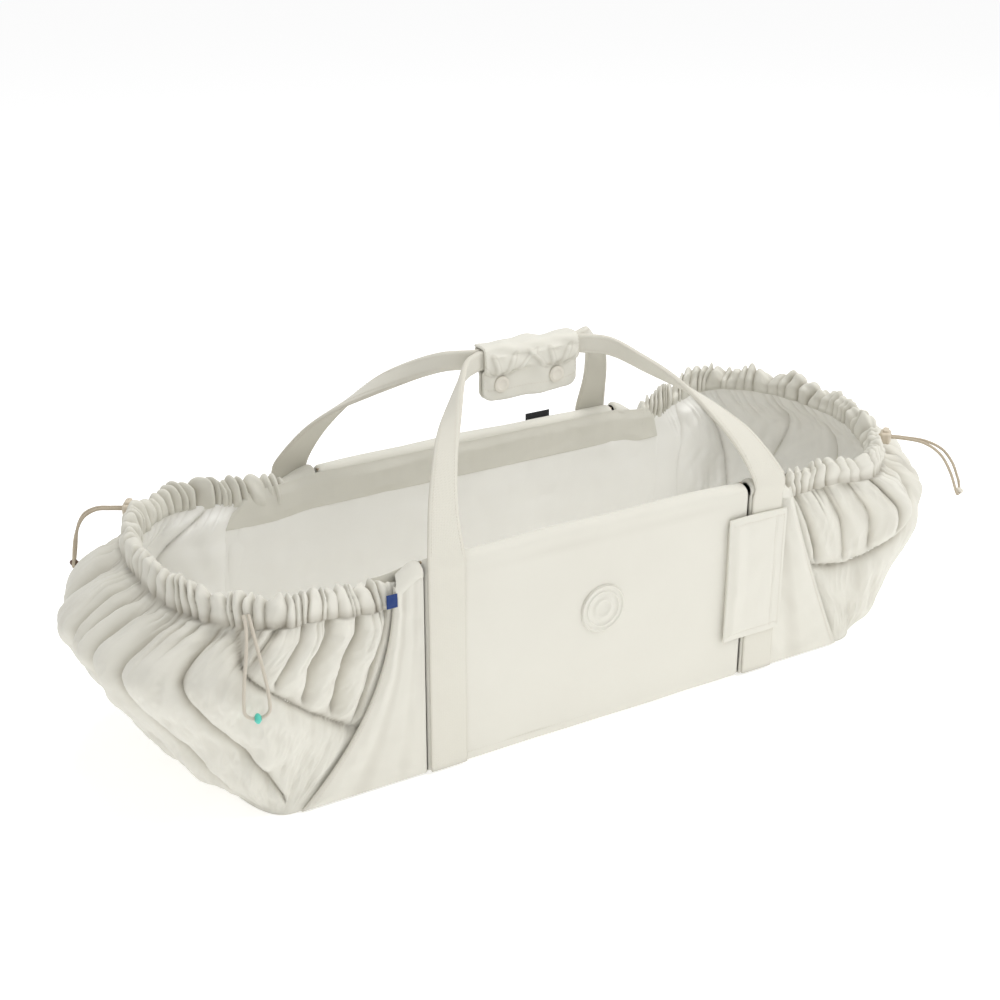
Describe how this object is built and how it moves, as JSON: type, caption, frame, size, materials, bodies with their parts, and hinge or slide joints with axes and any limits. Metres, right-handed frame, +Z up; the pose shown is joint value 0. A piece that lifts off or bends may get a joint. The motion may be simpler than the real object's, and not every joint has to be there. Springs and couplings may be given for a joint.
{
  "type": "baby carrycot",
  "caption": "Soft carrycot with padded side panels, gathered bowl-shaped ends closed by drawcords, a mattress, and carry handles joined by a snap-closed grip wrap.",
  "frame": {"origin": "on the floor under the middle of the cot", "axes": "+X along the cot's length towards the end with the round-the-corner tab on the front panel, +Y towards the back panel, +Z up"},
  "size_m": [0.9, 0.3588, 0.3458],
  "materials": {
    "cotton": "matt woven cotton canvas",
    "lining": "soft matt cotton",
    "wadding": "quilted wadding in a cotton cover",
    "board": "plain fibreboard",
    "webbing": "flat woven cotton webbing",
    "cord": "round braided cord",
    "plastic": "satin moulded plastic",
    "mint_plastic": "glossy",
    "brown_plastic": "glossy",
    "navy_ribbon": "woven ribbon",
    "black_ribbon": "woven ribbon"
  },
  "bodies": {
    "root": {"base_cover": "cotton", "base_board": "board", "front_cover": "cotton", "front_foam": "wadding", "front_board": "board", "front_liner": "lining", "front_left_band": "webbing", "front_right_band": "webbing", "front_left_wing": "cotton", "front_right_wing": "cotton", "front_tab_strip": "webbing", "back_cover": "cotton", "back_foam": "wadding", "back_board": "board", "back_liner": "lining", "back_left_band": "webbing", "back_right_band": "webbing", "back_left_wing": "cotton", "back_right_wing": "cotton", "back_tab_strip": "webbing", "left_bowl_shell": "cotton", "left_bowl_padding": "wadding", "left_bowl_lining": "lining", "left_rim_casing": "cotton", "left_drawcord": "cord", "right_bowl_shell": "cotton", "right_bowl_padding": "wadding", "right_bowl_lining": "lining", "right_rim_casing": "cotton", "right_drawcord": "cord", "back_left_loop": "cord", "front_left_loop": "cord", "front_right_loop": "cord", "back_right_loop": "cord", "back_left_bead": "brown_plastic", "front_left_bead": "mint_plastic", "front_right_bead": "plastic", "back_right_bead": "plastic", "badge": "cotton", "navy_tag": "navy_ribbon", "black_label": "black_ribbon"},
    "mattress": {"mattress": "wadding"},
    "front_handle": {"front_handle_strap": "webbing"},
    "back_handle": {"back_handle_strap": "webbing", "grip_pad": "cotton", "left_snap_socket": "plastic", "right_snap_socket": "plastic"},
    "grip_flap": {"grip_flap": "cotton", "left_snap_cap": "plastic", "right_snap_cap": "plastic"},
    "front_tab": {"front_tab": "cotton"},
    "back_tab": {"back_tab": "cotton"},
    "back_left_lock": {"back_left_lock": "plastic"},
    "back_left_button": {"back_left_button": "plastic"},
    "front_right_lock": {"front_right_lock": "plastic"},
    "front_right_button": {"front_right_button": "plastic"},
    "back_right_lock": {"back_right_lock": "plastic"},
    "back_right_button": {"back_right_button": "plastic"}
  },
  "joints": [
    {"name": "front_handle_fold", "type": "hinge", "parent": "root", "child": "front_handle", "pos_m": [0, -0.1369, 0.21155], "axis": [1, 0, 0], "range_deg": [0, 175], "deforming": ["grip_flap"]},
    {"name": "back_handle_fold", "type": "hinge", "parent": "root", "child": "back_handle", "pos_m": [0, 0.1369, 0.21155], "axis": [-1, 0, 0], "range_deg": [0, 175], "deforming": ["grip_flap"]},
    {"name": "grip_flap_open", "type": "hinge", "parent": "back_handle", "child": "grip_flap", "pos_m": [0, 0.0102, 0.3429], "axis": [-1, 0, 0], "range_deg": [0, 150]},
    {"name": "front_tab_open", "type": "hinge", "parent": "root", "child": "front_tab", "pos_m": [0.2135, -0.1396, 0.1125], "axis": [0, 0, 1], "range_deg": [0, 150]},
    {"name": "back_tab_open", "type": "hinge", "parent": "root", "child": "back_tab", "pos_m": [-0.2135, 0.1396, 0.1125], "axis": [0, 0, 1], "range_deg": [0, 150]},
    {"name": "mattress_lift", "type": "slide", "parent": "root", "child": "mattress", "axis": [0, 0, 1], "range_m": [0, 0.12]},
    {"name": "back_left_lock_slide", "type": "slide", "parent": "root", "child": "back_left_lock", "axis": [-0.854, 0.5204, 0], "range_m": [0, 0.009]},
    {"name": "back_left_button_press", "type": "slide", "parent": "back_left_lock", "child": "back_left_button", "axis": [0, 0, -1], "range_m": [0, 0.0025], "stiffness_N_per_m": 400},
    {"name": "front_right_lock_slide", "type": "slide", "parent": "root", "child": "front_right_lock", "axis": [0.6787, -0.7344, 0], "range_m": [0, 0.009]},
    {"name": "front_right_button_press", "type": "slide", "parent": "front_right_lock", "child": "front_right_button", "axis": [0, 0, -1], "range_m": [0, 0.0025], "stiffness_N_per_m": 400},
    {"name": "back_right_lock_slide", "type": "slide", "parent": "root", "child": "back_right_lock", "axis": [0.0055, 1, 0], "range_m": [0, 0.009]},
    {"name": "back_right_button_press", "type": "slide", "parent": "back_right_lock", "child": "back_right_button", "axis": [0, 0, -1], "range_m": [0, 0.0025], "stiffness_N_per_m": 400}
  ]
}
